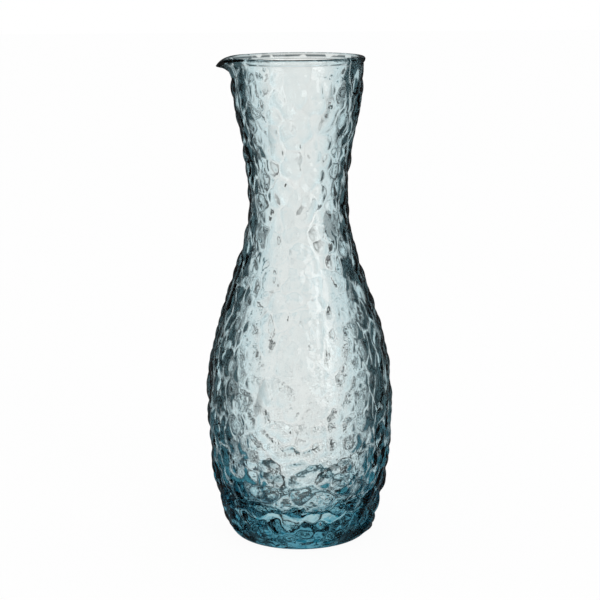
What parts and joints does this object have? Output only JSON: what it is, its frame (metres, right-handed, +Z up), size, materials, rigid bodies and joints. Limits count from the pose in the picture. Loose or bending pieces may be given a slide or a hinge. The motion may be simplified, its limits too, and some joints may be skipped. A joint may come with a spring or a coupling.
{
  "type": "water carafe",
  "caption": "Tall glass water carafe with a rounded belly, narrow waist, pebbled outside, smooth rim and a small pouring lip.",
  "frame": {"origin": "centre of the flat ring that it stands on, in the resting plane", "axes": "+Z up along the carafe's axis, -X towards the tip of the pouring lip"},
  "size_m": [0.1082, 0.1082, 0.275],
  "materials": {
    "tinted_glass": "clear pale blue-green glass, fire polished, pebbled outside"
  },
  "bodies": {
    "root": {"glass_carafe": "tinted_glass"}
  },
  "joints": []
}
